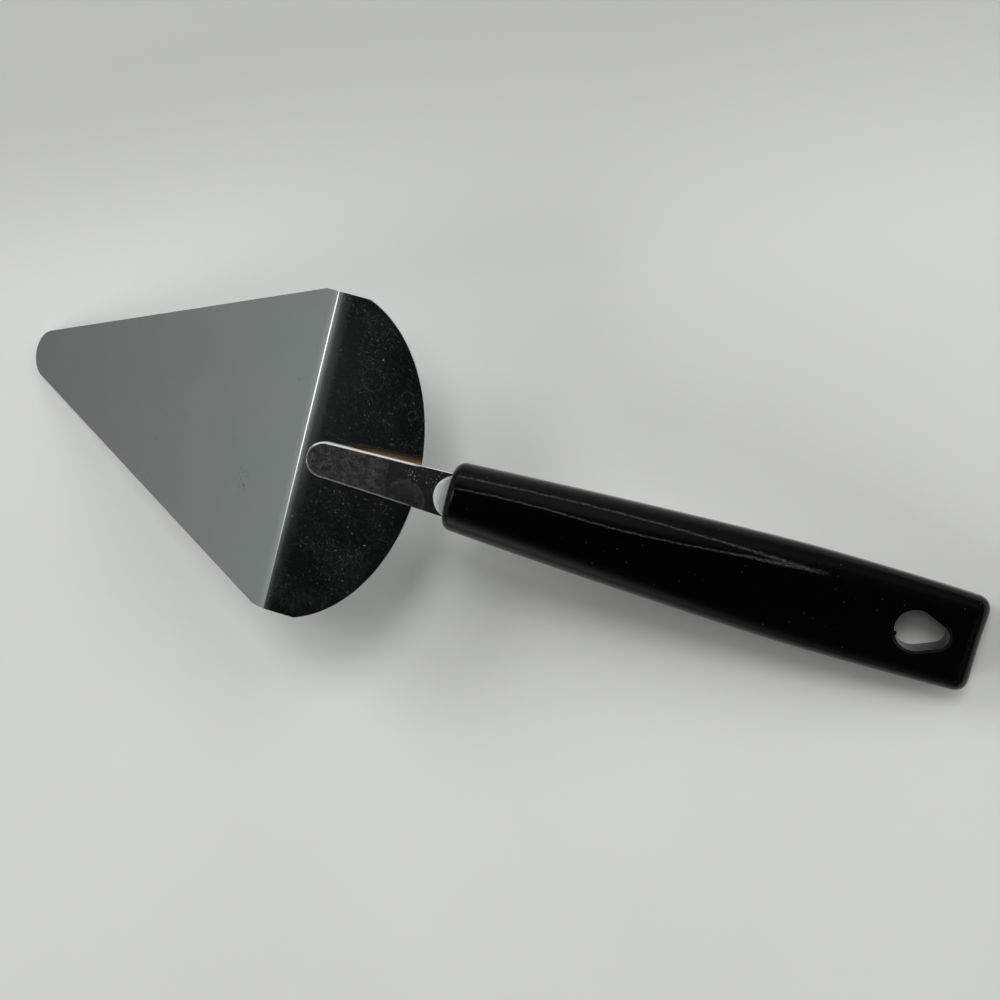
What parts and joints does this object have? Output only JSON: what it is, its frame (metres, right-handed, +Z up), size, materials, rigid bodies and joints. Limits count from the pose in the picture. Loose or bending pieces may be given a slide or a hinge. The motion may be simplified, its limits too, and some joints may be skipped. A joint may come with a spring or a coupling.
{
  "type": "cake server",
  "caption": "Cake server with a folded triangular steel blade, a strip tang on the back of its heel, a wedged locking tongue and a glossy black moulded handle with a hang hole.",
  "frame": {"origin": "centre of the footprint of the server as it lies on a table, face down, on its tip and the end of its handle", "axes": "+X along the server from tip to handle end, +Y across the blade, +Z up"},
  "size_m": [0.2698, 0.08, 0.0354],
  "materials": {
    "blade_steel": "polished stainless sheet with fine rolling lines, worn along the edges",
    "tang_steel": "polished stainless strip with bright cut edges",
    "tongue_steel": "stainless strip, mottled and slightly dulled",
    "handle_plastic": "glossy black moulded plastic with fine scuffs along its length"
  },
  "bodies": {
    "root": {"blade": "blade_steel", "tang": "tang_steel", "tongue": "tongue_steel", "handle": "handle_plastic"}
  },
  "joints": []
}
